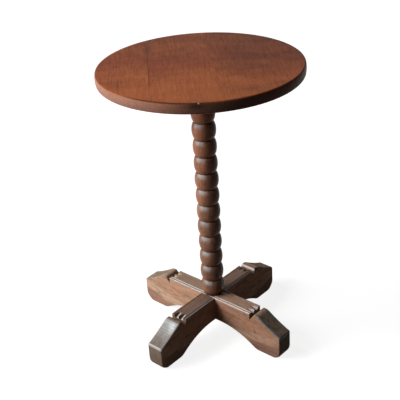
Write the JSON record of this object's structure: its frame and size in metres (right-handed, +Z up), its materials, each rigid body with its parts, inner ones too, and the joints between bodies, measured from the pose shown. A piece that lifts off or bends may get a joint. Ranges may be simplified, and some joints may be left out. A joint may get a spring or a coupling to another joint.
{
  "type": "side table",
  "caption": "Round side table on a bobbin-turned column with crossed sledge feet, beaded and notched along their tops.",
  "frame": {"origin": "on the floor under the column's axis", "axes": "+Z up along the column, +X along the upper foot beam, +Y along the lower foot beam"},
  "size_m": [0.4, 0.4, 0.605],
  "materials": {
    "top_wood": "satin polish, red-brown",
    "column_wood": "satin polish, red-brown",
    "foot_wood": "worn satin, grey-brown",
    "cleat_wood": "matt, planed",
    "wedge_wood": "matt"
  },
  "bodies": {
    "root": {"top_board_left": "top_wood", "top_board_middle": "top_wood", "top_board_right": "top_wood", "top_cleat": "cleat_wood", "column": "column_wood", "head_wedge": "wedge_wood", "foot_wedge": "wedge_wood", "foot_beam_upper": "foot_wood", "foot_beam_lower": "foot_wood"}
  },
  "joints": []
}
